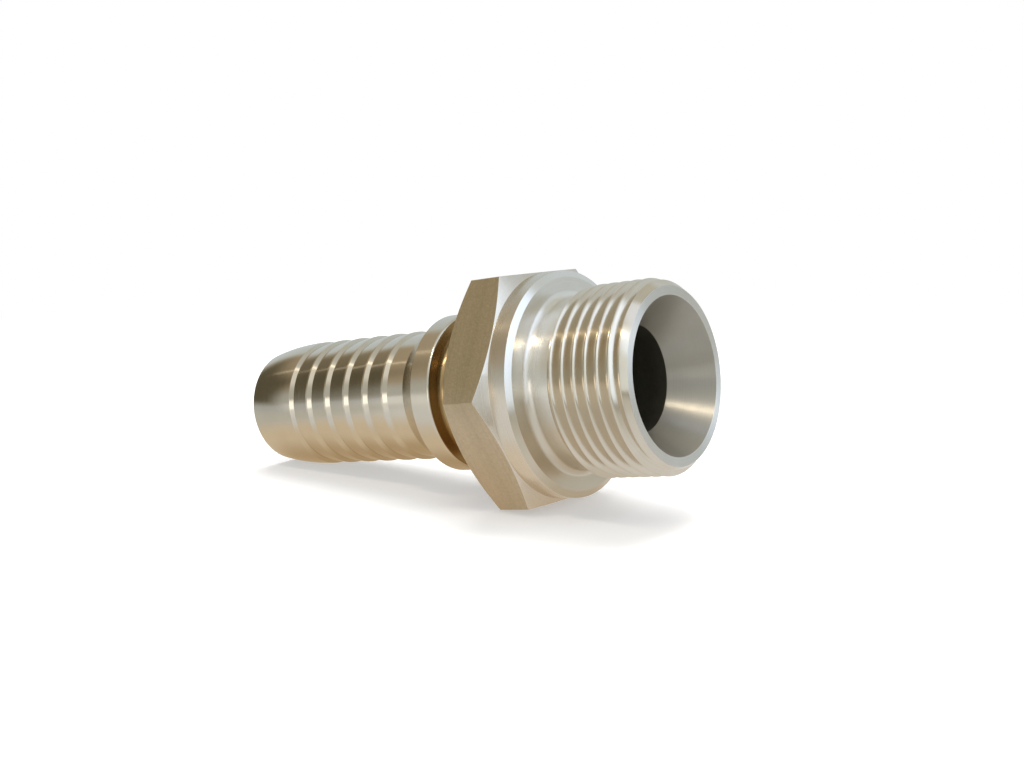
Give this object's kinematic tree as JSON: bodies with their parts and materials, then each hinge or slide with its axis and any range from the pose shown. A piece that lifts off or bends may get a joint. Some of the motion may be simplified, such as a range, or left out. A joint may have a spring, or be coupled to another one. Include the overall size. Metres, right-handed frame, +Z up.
{
  "type": "threaded hose nipple",
  "caption": "Hose nipple turned from hexagon bar: barbed tail, collar and ferrule groove, spanner hexagon, sealing flange and male thread with a coned end.",
  "frame": {"origin": "middle of the part's footprint, on the surface that it lies on", "axes": "+Z up, +X towards the thread end; the part's own axis rises 8.83 degrees towards +X, because the part lies on the back edge of the hexagon's lowest flat and on the nose of its tail; the hexagon's top and bottom flats run along Y"},
  "size_m": [0.0752, 0.037, 0.033],
  "materials": {
    "steel": "bright turned steel with a warm cast, hexagon flats left matt"
  },
  "bodies": {
    "root": {"hose_nipple": "steel"}
  },
  "joints": []
}
